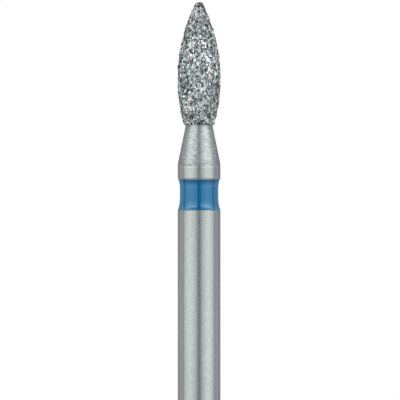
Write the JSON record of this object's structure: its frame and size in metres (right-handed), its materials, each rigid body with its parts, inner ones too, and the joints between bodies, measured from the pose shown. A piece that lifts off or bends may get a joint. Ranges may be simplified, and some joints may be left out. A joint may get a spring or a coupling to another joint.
{
  "type": "dental bur",
  "caption": "Slim dental bur with a straight friction-grip steel shank, a blue colour ring and a flame-shaped diamond-coated head.",
  "frame": {"origin": "centre of the shank's free end", "axes": "+Z along the axis of the bur, from the free end of the shank to the tip of the head"},
  "size_m": [0.0016, 0.0016, 0.019],
  "materials": {
    "shank_steel": "satin, ground round the shank and turned on the neck",
    "ring_lacquer": "glossy blue lacquer",
    "diamond_plating": "nickel plating with sharp diamond grains"
  },
  "bodies": {
    "root": {"steel_blank": "shank_steel", "colour_ring": "ring_lacquer", "diamond_coating": "diamond_plating"}
  },
  "joints": []
}
